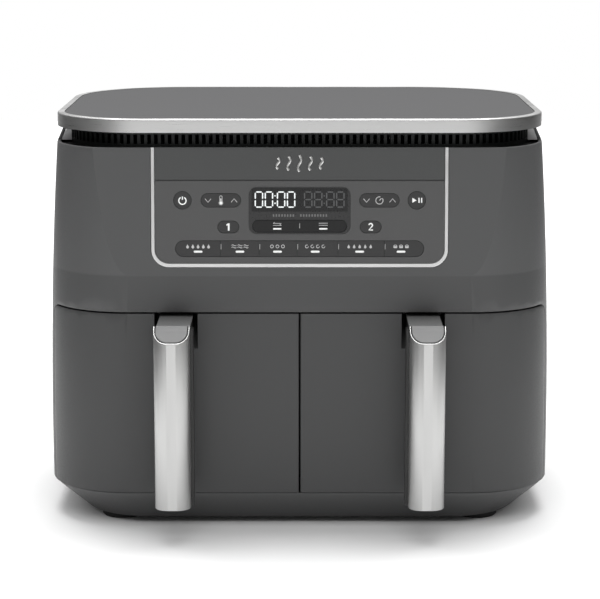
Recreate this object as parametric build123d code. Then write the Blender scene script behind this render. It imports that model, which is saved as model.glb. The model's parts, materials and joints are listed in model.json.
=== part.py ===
from build123d import *
import math
import os

# Countertop air fryer with two side-by-side cooking drawers.
#
# Frame: millimetres, +Z up, the front with the drawer handles faces -Y, and +X is the right-hand side
# as a user in front of it sees it. The origin is under the centre of the overall box, on the plane that
# the feet stand on.
#
# The shell is a barrel: its plan outline is a rounded rectangle whose half width follows a parabola in Z,
# so every section of it, outside or inside, comes from body_section(). The upper front leans back behind
# a tilted plane that carries the control panel, and PANEL_PLANE is that plane's local frame: x to the
# right, y up the slope, z out towards the user.

# ---------------------------------------------------------------- driving dimensions
OVERALL_HEIGHT = 317.0
HANDLE_REACH = 51.0  # how far the handles stand out from the drawer fronts
BODY_DEPTH = 296.0
SPACER_REACH = 5.0  # rear bumpers that keep the air outlets off a wall
FRONT_Y = (HANDLE_REACH - BODY_DEPTH - SPACER_REACH) / 2
BACK_Y = FRONT_Y + BODY_DEPTH

FRONT_RADIUS = 64.0
BACK_RADIUS = 92.0
WALL = 2.8

# Side profile of the barrel: three half widths and the heights they belong to.
LOW_Z, LOW_HALF = 27.1, 197.3
MID_Z, MID_HALF = 176.0, 195.6
RIM_Z, RIM_HALF = 295.3, 189.3

FOOT_HEIGHT = 5.0
SEAM_Z = 169.7  # bottom edge of the housing's upper front
CREASE_Z = 198.8  # where the upper front starts to lean back
LEAN_DEG = 5.0
SHOULDER_Z = 305.6
SHOULDER_INSET = 4.8
SHOULDER_WALL = 2.4
GAP = 1.2  # visible seam round the drawers
FIT = 0.2  # gap between neighbouring fixed parts

LID_HALF = 190.1
LID_FRONT_RADIUS = 70.0
LID_Z = 306.6
LID_FRONT_Y = FRONT_Y + 6.0
LID_BACK_Y = BACK_Y - 1.0
VENT_END_Y = FRONT_Y + 62.0

# Base: height, half width, inset from the front and corner radius of each level.
BASE_SECTIONS = (
    (LOW_Z - 0.3, 196.4, 0.6, 63.0),
    (22.0, 191.2, 2.4, 61.0),
    (15.0, 182.7, 5.6, 58.0),
    (FOOT_HEIGHT, 170.8, 10.0, 54.0),
)
FOOT_X = 140.0
FOOT_FRONT_Y = FRONT_Y + 38.0
FOOT_BACK_Y = BACK_Y - 52.0
FOOT_RADIUS = 16.5

# Back panel, its air outlets and screws, and the gland for the mains cord.
REAR_HALF = 88.0
REAR_LOW_Z, REAR_TOP_Z = 46.0, 284.0
REAR_SLOTS_Z = 176.0
SPACER_Z = 158.0
REAR_SCREWS = [(side * 80, z) for side in (-1, 1) for z in (56, 150, 274)]
SCREW_HOLE = 1.9
GLAND_X, GLAND_Z = -62.0, 70.0
GLAND_RADIUS = 7.5
GLAND_LENGTH = 11.0
CORD_RADIUS = 3.7

# Lid band and the louvre under it.
BAND_WALL = 1.2
LIP = 5.5
GRILLE_INSET = 10.6
GRILLE_PITCH = 5.2
SLOT_LOW_Z = 297.0
SLOT_TOP_Z = LID_Z - 2.4

# Drawers and what is behind them.
BAY_X = 91.5
HANDLE_X = 95.8
NECK_X = 94.6  # the neck sits slightly inboard of the bar's middle
DRAWER_TOP_Z = SEAM_Z - GAP
DRAWER_LOW_Z = LOW_Z + 0.1
DRAWER_BACK_Y = FRONT_Y + 42.0
DRAWER_CORNER = 9.0
FRAME_Y = FRONT_Y + 43.2
PAN_HALF = 79.0
PAN_FRONT_Y = FRONT_Y + 44.0
PAN_BACK_Y = PAN_FRONT_Y + 222.0
PAN_LOW_Z = 36.5
PAN_RIM_Z = 143.5
PAN_WALL = 1.5
PAN_FLANGE = 3.6
PAN_RADIUS = 22.0
PAN_BACK_RADIUS = 44.0
LINER_HALF = 86.0
LINER_LOW_Z = 30.5
LINER_TOP_Z = 185.0
LINER_WALL = 0.8
LINER_BACK_Y = PAN_BACK_Y + 9.0
BAY_Y = (PAN_FRONT_Y + PAN_BACK_Y) / 2
HEATER_Z = 174.0
PLATE_Z = 55.0
PLATE_INSET = 4.5

# Handle, in the plane across the drawer: "out" is the distance in front of the drawer face.
HANDLE_HALF = 13.5
HANDLE_WALL = 0.8
BAR_REAR_HALF = 15.0  # behind the steel the moulded bar is wider, and centred on the neck
COVER_BACK_OUT = 36.5
BAR_BACK_OUT = 28.0
HANDLE_LOW_Z = 27.0
HANDLE_TOP_Z = 166.4
NOSE_Z = 155.2
NECK_HALF = 12.5
NECK_LOW_Z = 141.0
CAP_THICK = 2.3
NOTCH_HALF = 16.6
NOTCH_LOW_Z = 141.5
NOTCH_DEPTH = 31.0

# Control panel, in PANEL_PLANE's own x and y.
PANEL_HALF = 110.3
PANEL_LOW = 8.5
PANEL_CORNER = 11.0
GROOVE_Z = 270.5
TRIM_WIDTH = 2.6
PANEL_THICK = 3.0
KEY_TRAVEL = 0.6
KEY_GAP = 0.3
SPLIT_GAP = 0.1  # half the seam between neighbouring function keys
KEY_THICK = 2.4
BOARD_Z = -14.0
STEM_Z = BOARD_Z + 1.6 + 3.0 + KEY_TRAVEL + 0.2
ROCKER_AXIS_Z = -KEY_THICK - 0.6
ROUND_KEY = 13.3
KEYS = {
    "power_key": (-89.0, 255.4, ROUND_KEY, ROUND_KEY),
    "start_stop_key": (89.0, 255.4, ROUND_KEY, ROUND_KEY),
    "temperature_rocker": (-59.8, 255.4, 30.0, 10.2),
    "time_rocker": (60.6, 255.4, 30.0, 10.2),
    "zone_one_key": (-54.2, 235.2, 16.0, 9.0),
    "zone_two_key": (54.0, 235.2, 16.0, 9.0),
    "sync_match_rocker": (0.0, 235.8, 71.4, 9.0),
}
ROCKERS = ("temperature_rocker", "time_rocker", "sync_match_rocker")
STRIP_HALF = 94.4
STRIP_Z = 218.7
STRIP_HEIGHT = 12.0
STRIP_SPLITS = (-60.3, -30.8, -1.9, 29.2, 64.6)
FUNCTION_KEYS = ("max_heat_key", "air_fry_key", "roast_key", "reheat_key", "dehydrate_key", "bake_key")
LENS_HALF = 38.6
LENS_LOW_Z, LENS_TOP_Z = 229.8, 265.4
LENS_CORNER = 6.0
DIGIT_WIDTH, DIGIT_HEIGHT, DIGIT_PITCH = 6.5, 12.4, 7.6
STROKE = 1.1
COLON_ROOM = 1.6

# Fan drive, one above each bay.
SHROUD_RADIUS = 78.0
FAN_RADIUS = 66.0
MOTOR_RADIUS = 31.0
SHAFT_RADIUS = 4.0
RUNNING = 0.05

SIDES = {"left": -1, "right": 1}

PANEL_PLANE = Plane(
    origin=(0, FRONT_Y, CREASE_Z),
    x_dir=(1, 0, 0),
    z_dir=(0, -math.cos(math.radians(LEAN_DEG)), math.sin(math.radians(LEAN_DEG))),
)


def slope_y(z):
    """Distance up the leaning front at height z."""
    return (z - CREASE_Z) / math.cos(math.radians(LEAN_DEG))


# Key layout on the leaning front: centre x, centre height, width, height.


# ---------------------------------------------------------------- shared shapes
def box(x0, x1, y0, y1, z0, z1):
    """A box between two corners."""
    return Pos((x0 + x1) / 2, (y0 + y1) / 2, (z0 + z1) / 2) * Box(x1 - x0, y1 - y0, z1 - z0)


def rod(x, y, z0, z1, radius):
    """An upright cylinder from z0 to z1."""
    return Pos(x, y, (z0 + z1) / 2) * Cylinder(radius, z1 - z0)


def rounded(half, front, back, front_radius, back_radius):
    """A plan outline: a rectangle with its own radius at the front and at the back corners."""
    sketch = Pos(0, (front + back) / 2) * Rectangle(2 * half, back - front)
    sketch = fillet(sketch.vertices().group_by(Axis.Y)[0], front_radius)
    return fillet(sketch.vertices().group_by(Axis.Y)[-1], back_radius)


def side_half(z):
    """The barrel's half width at height z: the parabola through its three stated points."""
    slope_low = (MID_HALF - LOW_HALF) / (MID_Z - LOW_Z)
    slope_high = (RIM_HALF - MID_HALF) / (RIM_Z - MID_Z)
    bend = (slope_high - slope_low) / (RIM_Z - LOW_Z)
    return LOW_HALF + slope_low * (z - LOW_Z) + bend * (z - LOW_Z) * (z - MID_Z)


def body_section(z, inset=0.0):
    """The barrel's plan outline at height z, moved inwards by inset."""
    sketch = rounded(
        side_half(z) - inset, FRONT_Y + inset, BACK_Y - inset, FRONT_RADIUS - inset, BACK_RADIUS - inset
    )
    return Pos(0, 0, z) * sketch


def barrel(z0, z1, inset=0.0):
    """The barrel between two heights, as one solid."""
    return loft([body_section(z, inset) for z in (z0, (z0 + z1) / 2, z1)])


def beyond_panel(depth):
    """Everything in front of the leaning plane, moved back by depth."""
    return PANEL_PLANE * Pos(0, 0, 100 - depth) * Box(600, 600, 200)


def lid_outline(inset=0.0):
    """The lid's plan outline, moved inwards by inset."""
    front, back = LID_FRONT_Y + inset, LID_BACK_Y - inset
    return rounded(LID_HALF - inset, front, back, LID_FRONT_RADIUS - inset, BACK_RADIUS - inset)


def slab(sketch, z0, z1):
    """A flat sketch made solid between two heights."""
    return extrude(Pos(0, 0, z0) * sketch, z1 - z0)


def panel_slab(sketch, low, high):
    """A sketch in the leaning plane made solid from low to high along its normal."""
    return extrude(PANEL_PLANE * Pos(0, 0, low) * sketch, high - low, dir=PANEL_PLANE.z_dir)


def pill(width, height):
    """A rectangle with fully rounded ends, or a circle."""
    if abs(width - height) < 0.01:
        return Circle(width / 2)
    return SlotOverall(width, height)


# ---------------------------------------------------------------- outer shell
def panel_outline(grow):
    """The control panel's outline: rounded at the bottom, open past the housing's rim at the top."""
    half, low, top = PANEL_HALF + grow, PANEL_LOW - grow, slope_y(RIM_Z) + 30
    sketch = Pos(0, (low + top) / 2) * Rectangle(2 * half, top - low)
    return fillet(sketch.vertices().group_by(Axis.Y)[0], PANEL_CORNER + grow)


def drawer_profile(grow):
    """The drawer fronts' outline from the side, with a rounded upper back corner, made larger by grow."""
    back, top = DRAWER_BACK_Y + grow, DRAWER_TOP_Z + grow
    sketch = Pos((FRONT_Y - 20 + back) / 2, top / 2) * Rectangle(back - FRONT_Y + 20, top)
    corner = sketch.vertices().sort_by(lambda v: v.X + v.Y)[-1]
    return Plane.YZ * fillet(corner, DRAWER_CORNER + grow)


def rear_outline(grow):
    """The rear cover's outline, as an upright sketch on the back wall."""
    height = REAR_TOP_Z - REAR_LOW_Z
    sketch = RectangleRounded(2 * (REAR_HALF + grow), height + 2 * grow, 14 + grow)
    return Plane.XZ * Pos(0, (REAR_TOP_Z + REAR_LOW_Z) / 2) * sketch


def rear_block(grow, y0, y1):
    """The rear cover's outline made solid between two depths."""
    return Pos(0, y0, 0) * extrude(rear_outline(grow), y1 - y0, dir=(0, 1, 0))


def main_housing():
    """One-piece outer shell: sides, back and upper front, open below the seam for the drawers."""
    inset = SHOULDER_INSET
    rise = SHOULDER_Z - RIM_Z
    outer = barrel(LOW_Z, RIM_Z) + loft([body_section(RIM_Z), Pos(0, 0, rise) * body_section(RIM_Z, inset)])
    inner = barrel(LOW_Z - 1, RIM_Z, WALL) + loft(
        [body_section(RIM_Z, WALL), Pos(0, 0, rise + 1) * body_section(RIM_Z, inset + SHOULDER_WALL)]
    )
    shell = (outer - beyond_panel(0)) - (inner - beyond_panel(WALL))
    shell -= extrude(drawer_profile(GAP), 210, both=True)
    channel = box(-210, 210, FRONT_Y - 1, VENT_END_Y, RIM_Z, SHOULDER_Z + 5)
    shell -= channel
    shell -= panel_slab(panel_outline(TRIM_WIDTH + FIT), -30, 30)
    ledge = rear_block(5, BACK_Y - WALL - 2.6, BACK_Y - 1) - rear_block(-13, BACK_Y - 20, BACK_Y)
    shell += ledge
    shell -= rear_block(FIT, BACK_Y - WALL - 0.1, BACK_Y + 5)
    for x, z in REAR_SCREWS:
        shell -= Pos(x, BACK_Y, z) * Rot(90, 0, 0) * Cylinder(SCREW_HOLE, 20)
    return shell


def base_section(z, half, front_inset, radius, inset=0.0):
    """A level of the base, moved inwards by inset."""
    front, back = FRONT_Y + front_inset + inset, BACK_Y - front_inset - inset
    back_radius = BACK_RADIUS - 2 * front_inset - inset
    return Pos(0, 0, z) * rounded(half - inset, front, back, radius - inset, back_radius)


def base_tray():
    """Shallow tray under the whole body, with steeply tucked-in sides and bosses for its screws."""
    outer = loft([base_section(*s) for s in BASE_SECTIONS])
    hollow = []
    for z, half, front_inset, radius in BASE_SECTIONS:
        floor = WALL if z == FOOT_HEIGHT else 0
        hollow.append(base_section(z + floor, half, front_inset, radius, WALL))
    tray = outer - loft(hollow)
    for x in (-150, 150):
        for y in (FRONT_Y + 70, BACK_Y - 70):
            tray += rod(x, y, FOOT_HEIGHT + 1, LOW_Z - 1.0, 5.0)
            tray -= rod(x, y, FOOT_HEIGHT - 1, LOW_Z - 0.5, 2.1)
            tray -= rod(x, y, FOOT_HEIGHT - 1, FOOT_HEIGHT + 4.2, 4.2)
    return tray


def rubber_feet():
    """Four round non-slip feet."""
    feet = []
    for x in (-FOOT_X, FOOT_X):
        for y in (FOOT_FRONT_Y, FOOT_BACK_Y):
            foot = rod(x, y, 0, FOOT_HEIGHT - 0.05, FOOT_RADIUS)
            feet.append(chamfer(foot.edges().group_by(Axis.Z)[0], 1.2))
    return Compound(children=feet)


def front_frame():
    """Inner bulkhead behind the drawer fronts, open for each pan, with a shelf under the upper front."""
    plate = barrel(LOW_Z + 0.5, SEAM_Z - 0.2, WALL + FIT) & box(-210, 210, FRAME_Y, FRAME_Y + 2.4, 0, 200)
    shelf = barrel(SEAM_Z - 0.3, SEAM_Z + 2.2, WALL + FIT)
    shelf &= box(-210, 210, FRONT_Y, FRAME_Y + 2.4, 0, 200)
    frame = plate + shelf
    for side in SIDES.values():
        x = side * BAY_X
        frame -= box(x - 84.6, x + 84.6, FRAME_Y - 1, FRAME_Y + 5, LINER_LOW_Z + 2.4, 156)
    return frame


def rear_cover():
    """Back panel with two fields of air outlet slots, wall bumpers and a hole for the cord gland."""
    cover = rear_block(0, BACK_Y - WALL, BACK_Y)
    slots = []
    for side in SIDES.values():
        for row in range(11):
            z = REAR_SLOTS_Z + row * 7.2
            slots.append(Pos(side * 43, BACK_Y - WALL / 2, z) * Box(66, 8, 3.4))
        bumper = Pos(side * 62, BACK_Y + SPACER_REACH / 2, SPACER_Z) * Box(34, SPACER_REACH, 10)
        cover += fillet(bumper.edges().filter_by(Axis.Y), 3)
    cover -= slots
    cover -= Pos(GLAND_X, BACK_Y, GLAND_Z) * Rot(90, 0, 0) * Cylinder(GLAND_RADIUS + 0.1, 20)
    for x, z in REAR_SCREWS:
        cover -= Pos(x, BACK_Y, z) * Rot(90, 0, 0) * Cylinder(SCREW_HOLE, 20)
        cover -= Pos(x, BACK_Y, z) * Rot(90, 0, 0) * Cylinder(3.7, 2.4)
    return cover


def cord_gland():
    """Flanged rubber bush that a mains cord would leave through."""
    axis = Pos(GLAND_X, BACK_Y, GLAND_Z) * Rot(90, 0, 0)
    bush = axis * Pos(0, 0, 1.5) * Cylinder(GLAND_RADIUS, GLAND_LENGTH)
    bush += axis * Pos(0, 0, -1.2) * Cylinder(GLAND_RADIUS + 2.2, 2.2)
    bush += axis * Pos(0, 0, 4.6) * Cylinder(GLAND_RADIUS + 1.6, 1.6)
    return bush - axis * Cylinder(CORD_RADIUS, 30)


# ---------------------------------------------------------------- lid and air intake
def lid_trim_band():
    """Steel band round the lid: an upright wall with a narrow lip turned in over the top."""
    band = slab(lid_outline(), LID_Z, OVERALL_HEIGHT)
    band = fillet(band.edges().group_by(Axis.Z)[-1], 1.4)
    band -= slab(lid_outline(BAND_WALL), LID_Z - 1, OVERALL_HEIGHT - BAND_WALL)
    return band - slab(lid_outline(LIP), LID_Z - 1, OVERALL_HEIGHT + 1)


def lid_plate():
    """Lid panel inside the band: a thin plate with a deep rim and a skirt inside the housing's shoulder."""
    plate = slab(lid_outline(BAND_WALL + FIT), LID_Z + 0.4, OVERALL_HEIGHT - BAND_WALL - 0.1)
    plate += slab(lid_outline(LIP + 0.3), OVERALL_HEIGHT - 2, OVERALL_HEIGHT - 0.3)
    plate -= slab(lid_outline(15), LID_Z, OVERALL_HEIGHT - 2.8)
    lift, clear = SHOULDER_Z + 1 - RIM_Z, SHOULDER_INSET + SHOULDER_WALL + 0.3
    skirt = loft([body_section(RIM_Z, WALL + 0.3), Pos(0, 0, lift) * body_section(RIM_Z, clear)])
    skirt += slab(lid_outline(clear + 1), SHOULDER_Z + 1, LID_Z + 1)
    skirt &= box(-210, 210, VENT_END_Y + 0.3, 200, RIM_Z - 0.5, LID_Z + 1)
    return plate + (skirt - slab(lid_outline(GRILLE_INSET - 0.3), RIM_Z - 5, LID_Z + 2))


def intake_grille():
    """Black louvre ring: a ledge out to the housing, a ring of slots and a deck under the lid."""
    low = RIM_Z - 3.5
    ledge = Pos(0, 0, low) * rounded(
        RIM_HALF - WALL - 0.6, FRONT_Y + 11.8, BACK_Y - WALL - 0.6, FRONT_RADIUS - 4, BACK_RADIUS - 4
    )
    ring = slab(lid_outline(GRILLE_INSET), low, LID_Z + 0.2)
    ring -= slab(lid_outline(GRILLE_INSET + 2.2), low - 1, LID_Z + 1)
    grille = extrude(ledge, 1.6) - slab(lid_outline(GRILLE_INSET + 1.2), low - 1, low + 3) + ring
    deck = slab(lid_outline(GRILLE_INSET), LID_Z - 1.4, LID_Z + 0.2)
    grille += deck - slab(lid_outline(50), LID_Z - 3, LID_Z + 2)
    path = lid_outline(GRILLE_INSET + 1.1).wire()
    count = int(path.length // GRILLE_PITCH)
    slots = []
    for i in range(count):
        point = path.position_at(i / count)
        if point.Y > VENT_END_Y + 4:
            continue
        along = path.tangent_at(i / count)
        turn = math.degrees(math.atan2(along.Y, along.X))
        middle = Pos(point.X, point.Y, (SLOT_LOW_Z + SLOT_TOP_Z) / 2)
        slots.append(middle * Rot(0, 0, turn) * Box(2.9, 6, SLOT_TOP_Z - SLOT_LOW_Z))
    return grille - slots


# ---------------------------------------------------------------- control panel
def key_sketch(name, grow=0.0):
    """A key's outline in the leaning plane."""
    x, z, width, height = KEYS[name]
    return Pos(x, slope_y(z)) * pill(width + 2 * grow, height + 2 * grow)


def strip_sketch(grow=0.0):
    """The outline shared by the row of function keys."""
    return Pos(0, slope_y(STRIP_Z)) * pill(2 * (STRIP_HALF + grow), STRIP_HEIGHT + 2 * grow)


def lens_sketch(grow=0.0):
    """The display block's outline."""
    low, top = slope_y(LENS_LOW_Z), slope_y(LENS_TOP_Z)
    outline = RectangleRounded(2 * (LENS_HALF + grow), top - low + 2 * grow, LENS_CORNER + grow)
    return Pos(0, (low + top) / 2) * outline


def control_fascia():
    """Front plate of the control panel: a groove under the badge strip and an opening for every key."""
    plate = panel_slab(panel_outline(-FIT), -PANEL_THICK, 0)
    plate &= box(-200, 200, FRONT_Y - 5, FRONT_Y + 40, 0, RIM_Z)
    groove = Pos(0, slope_y(GROOVE_Z)) * Rectangle(2 * PANEL_HALF + 4, 1.1)
    plate -= panel_slab(groove, -0.9, 1)
    plate -= panel_slab(lens_sketch(FIT / 2), -2.05, 1)
    plate -= panel_slab(strip_sketch(KEY_GAP), -5, 1)
    for name in KEYS:
        plate -= panel_slab(key_sketch(name, KEY_GAP), -5, 1)
    for x in (-99, 99):
        for z in (212, 268):
            plate += panel_slab(Pos(x, slope_y(z)) * Circle(2.6), BOARD_Z + 1.65, -PANEL_THICK)
    return plate


def fascia_trim():
    """Bright U-shaped frame round the control panel, standing just proud of it."""
    ring = panel_slab(panel_outline(TRIM_WIDTH), -PANEL_THICK, 0.6) - panel_slab(panel_outline(0), -10, 10)
    return ring & box(-200, 200, FRONT_Y - 5, FRONT_Y + 40, 0, RIM_Z)


def display_lens():
    """Smoked display block, cut out for the two-way key in its lower part."""
    lens = panel_slab(lens_sketch(), -2.0, 0.15)
    return lens - panel_slab(key_sketch("sync_match_rocker", KEY_GAP), -5, 1)


def digit_segments(x, y):
    """Six segments of a seven-segment zero, as centre, width and height."""
    half, quarter = DIGIT_HEIGHT / 2, DIGIT_HEIGHT / 4
    bar = (DIGIT_WIDTH - 1.2 * STROKE, STROKE)
    stem = (STROKE, half - 1.4 * STROKE)
    found = [(x, y + side * (half - STROKE / 2), *bar) for side in (-1, 1)]
    for dx in (-1, 1):
        for dy in (-1, 1):
            found.append((x + dx * (DIGIT_WIDTH - STROKE) / 2, y + dy * quarter * 0.93, *stem))
    return found


def display_digits():
    """Two four-figure readouts with colons, as thin lit solids on the face of the display block."""
    y = slope_y(256.0)
    solids = []
    for centre in (-18.7, 18.7):
        for place in (-1.5, -0.5, 0.5, 1.5):
            x = centre + place * DIGIT_PITCH + math.copysign(COLON_ROOM / 2, place)
            for sx, sy, width, height in digit_segments(x, y):
                solids.append(panel_slab(Pos(sx, sy) * Rectangle(width, height), 0.15, 0.3))
        for dy in (-2.6, 2.6):
            solids.append(panel_slab(Pos(centre, y + dy) * Rectangle(STROKE, STROKE), 0.15, 0.3))
    return Compound(children=solids)


def plain_key(name):
    """A push key: a flat cap with a stem that reaches towards its switch."""
    x, z = KEYS[name][:2]
    cap = panel_slab(key_sketch(name), -KEY_THICK, -0.25)
    return cap + panel_slab(Pos(x, slope_y(z)) * Circle(2.0), STEM_Z, -KEY_THICK)


def rocker_key(name):
    """A two-way key that rocks on a round rib across its back, with a stem at each end."""
    x, z, width, height = KEYS[name]
    y = slope_y(z)
    key = panel_slab(key_sketch(name), -KEY_THICK, -0.25)
    rib = PANEL_PLANE * Pos(x, y, ROCKER_AXIS_Z) * Rot(90, 0, 0) * Cylinder(1.2, height - 1.6)
    key += rib
    for side in (-1, 1):
        key += panel_slab(Pos(x + side * width * 0.32, y) * Circle(1.6), STEM_Z, -KEY_THICK)
    return key


def function_key(index):
    """One of the six keys that share the long opening; the end keys take its rounded ends."""
    edges = (-STRIP_HALF, *STRIP_SPLITS, STRIP_HALF)
    low = edges[index] + (0 if index == 0 else SPLIT_GAP)
    high = edges[index + 1] - (0 if index == 5 else SPLIT_GAP)
    middle = (low + high) / 2
    y = slope_y(STRIP_Z)
    cell = strip_sketch() & Pos(middle, y) * Rectangle(high - low, STRIP_HEIGHT + 2)
    key = panel_slab(cell, -KEY_THICK, -0.25)
    return key + panel_slab(Pos(middle, y) * Circle(2.0), STEM_Z, -KEY_THICK)


def key_centres():
    """Where the switches stand on the control board, in the leaning plane."""
    spots = []
    for name, (x, z, width, _) in KEYS.items():
        steps = (-0.32, 0.32) if name in ROCKERS else (0,)
        spots += [(x + step * width, slope_y(z)) for step in steps]
    edges = (-STRIP_HALF, *STRIP_SPLITS, STRIP_HALF)
    return spots + [((a + b) / 2, slope_y(STRIP_Z)) for a, b in zip(edges, edges[1:])]


def control_board():
    """Circuit board behind the panel, with a tactile switch behind every key."""
    solids = [panel_slab(Pos(0, slope_y(240)) * Rectangle(204, 64), BOARD_Z, BOARD_Z + 1.6)]
    for x, y in key_centres():
        solids.append(panel_slab(Pos(x, y) * Rectangle(6, 6), BOARD_Z + 1.6, BOARD_Z + 4.6))
    return Compound(children=solids)


# ---------------------------------------------------------------- inside
def power_board():
    """Mains board on the deck between the fan motors, with its larger components."""
    z = 226.0
    solids = [box(-48, 48, 40, 150, z, z + 1.6)]
    solids.append(box(-40, -8, 100, 136, z + 1.6, z + 30))
    solids += [box(x, x + 14, 56, 84, z + 1.6, z + 17) for x in (-42, -22, -2)]
    solids += [rod(x, y, z + 1.6, z + 26, 8) for x, y in ((8, 108), (28, 108), (8, 130))]
    solids.append(box(22, 44, 50, 92, z + 1.6, z + 22))
    solids += [rod(x, 46, LINER_TOP_Z + 26.05, z, 3) for x in (-43, 43)]
    solids += [rod(x, 140, LINER_TOP_Z + 0.05, z, 3) for x in (-43, 43)]
    return Compound(children=solids)


def cavity_liner(side):
    """Folded steel cooking chamber, open at the front, with a round hole in its roof under the fan."""
    x = side * BAY_X
    front, corner = FRAME_Y + 2.5, PAN_BACK_RADIUS + 6
    outside = Pos(x) * rounded(LINER_HALF, front, LINER_BACK_Y, 2, corner)
    wall = LINER_WALL
    inside = Pos(x) * rounded(LINER_HALF - wall, front - 9, LINER_BACK_Y - wall, 1, corner - wall)
    shell = slab(outside, LINER_LOW_Z, LINER_TOP_Z) - slab(inside, LINER_LOW_Z + wall, LINER_TOP_Z - wall)
    return shell - rod(x, BAY_Y, LINER_TOP_Z - 5, LINER_TOP_Z + 5, SHROUD_RADIUS - 4)


def drawer_rails():
    """A slide rail on each side wall of each chamber, under the pan's flange."""
    rails = []
    for side in SIDES.values():
        for way in (-1, 1):
            inner, outer = PAN_HALF + 1.2, LINER_HALF - 0.9
            xs = sorted((side * BAY_X + way * inner, side * BAY_X + way * outer))
            back = LINER_BACK_Y - PAN_BACK_RADIUS - 8
            rails.append(box(*xs, FRAME_Y + 3, back, PAN_RIM_Z - 5.5, PAN_RIM_Z - 1.8))
    return Compound(children=rails)


def heating_element(side):
    """Tubular element wound as a flat spiral of half circles, with both ends turned up through the roof."""
    tube, radius, step = 3.2, 26.0, 6.2
    start = side * BAY_X - radius
    coil = rod(start, BAY_Y, HEATER_Z, HEATER_Z + 9, tube) + Pos(start, BAY_Y, HEATER_Z) * Sphere(tube)
    for half in range(6):
        way = 1 if half % 2 == 0 else -1
        middle = start + way * radius
        section = Plane.XZ * Pos(start, HEATER_Z) * Circle(tube)
        coil += revolve(section.moved(Pos(0, BAY_Y, 0)), Axis((middle, BAY_Y, 0), (0, 0, -1)), 180)
        start += 2 * way * radius
        radius += step
    coil += Pos(start, BAY_Y, HEATER_Z) * Sphere(tube)
    return coil + rod(start, BAY_Y, HEATER_Z, HEATER_Z + 9, tube)


def fan_shroud(side):
    """Round steel dome over the chamber's roof, with a flange and a hole for the motor shaft."""
    x, low, top = side * BAY_X, LINER_TOP_Z + 0.1, LINER_TOP_Z + 26
    dome = rod(x, BAY_Y, low, top, SHROUD_RADIUS) - rod(x, BAY_Y, low - 1, top - 1.2, SHROUD_RADIUS - 1.2)
    flange = rod(x, BAY_Y, low, low + 1.2, SHROUD_RADIUS + 7)
    dome += flange - rod(x, BAY_Y, low - 1, low + 3, SHROUD_RADIUS - 1.2)
    return dome - rod(x, BAY_Y, top - 5, top + 5, 9)


def fan_motor(side):
    """Motor body with the shaft's bore and three legs down to the dome."""
    x, low = side * BAY_X, LINER_TOP_Z + 32
    body = rod(x, BAY_Y, low, low + 34, MOTOR_RADIUS)
    body += rod(x, BAY_Y, low + 34, low + 39, 12)
    for angle in (90, 210, 330):
        dx, dy = 25 * math.cos(math.radians(angle)), 25 * math.sin(math.radians(angle))
        body += rod(x + dx, BAY_Y + dy, LINER_TOP_Z + 26.1, low + 1, 4)
    return body - rod(x, BAY_Y, low - 1, low + 60, SHAFT_RADIUS + RUNNING)


def blades(x, z0, z1, inner, outer, count, lean):
    """A ring of flat upright blades, each turned by lean from the radius."""
    ring = []
    for i in range(count):
        blade = Rot(0, 0, lean) * Box(outer - inner, 1.2, z1 - z0)
        blade = Pos((inner + outer) / 2, 0, (z0 + z1) / 2) * blade
        ring.append(Pos(x, BAY_Y, 0) * Rot(0, 0, 360 * i / count) * blade)
    return ring


def convection_fan(side):
    """Impeller inside the dome: a disc with upright blades under it."""
    x, top = side * BAY_X, LINER_TOP_Z + 20
    fan = rod(x, BAY_Y, top - 1.2, top, FAN_RADIUS) + rod(x, BAY_Y, top - 12, top, 10)
    for blade in blades(x, top - 13, top - 0.5, 22, FAN_RADIUS - 2, 12, 24):
        fan += blade
    return fan - rod(x, BAY_Y, top - 20, top + 5, SHAFT_RADIUS)


def motor_rotor(side):
    """The motor's shaft, with the cooling fan that it carries above the motor as a second solid."""
    x, low = side * BAY_X, LINER_TOP_Z + 7
    top = LINER_TOP_Z + 84
    shaft = rod(x, BAY_Y, low, top, SHAFT_RADIUS)
    fan = rod(x, BAY_Y, top - 10, top - 1, 9)
    for blade in blades(x, top - 10, top - 1, 8, 40, 9, 32):
        fan += blade
    fan -= rod(x, BAY_Y, low, top + 5, SHAFT_RADIUS)
    return Compound(children=[shaft, fan])


def door_switches():
    """A microswitch above each drawer front that tells the board when its drawer is shut."""
    solids = []
    for side in SIDES.values():
        x = side * 30
        solids.append(box(x - 10, x + 10, FRONT_Y + 20, FRONT_Y + 33, SEAM_Z + 2.25, SEAM_Z + 12))
    return Compound(children=solids)


def temperature_sensors():
    """A probe with a clamp plate through the back wall of each chamber."""
    solids = []
    for side in SIDES.values():
        x = side * (BAY_X - 40)
        probe = Pos(x, LINER_BACK_Y + 3, 168) * Rot(90, 0, 0) * Cylinder(6, 5.8)
        solids.append(probe)
    return Compound(children=solids)


def screw(head_radius, head, shank_radius, shank):
    """A screw pointing down -Z with its head's underside at the origin."""
    body = Pos(0, 0, head / 2) * Cylinder(head_radius, head)
    body += Pos(0, 0, -shank / 2) * Cylinder(shank_radius, shank)
    cross = Pos(0, 0, head) * Box(0.9, 4.4, 1.8) + Pos(0, 0, head) * Box(4.4, 0.9, 1.8)
    return body - cross


def case_screws():
    """Screws that hold the rear cover, and those that come up through the base."""
    solids = []
    for x, z in REAR_SCREWS:
        solids.append(Pos(x, BACK_Y - 1.2, z) * Rot(-90, 0, 0) * screw(3.5, 1.8, 1.8, 12))
    for x in (-150, 150):
        for y in (FRONT_Y + 70, BACK_Y - 70):
            solids.append(Pos(x, y, FOOT_HEIGHT + 4.2) * Rot(180, 0, 0) * screw(4.0, 2.0, 2.0, 17))
    return Compound(children=solids)


# ---------------------------------------------------------------- drawers
def mirrored(shape, side):
    """Parts are drawn for the right-hand drawer; the left one is their mirror image."""
    return shape if side > 0 else mirror(shape, Plane.YZ)


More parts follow.
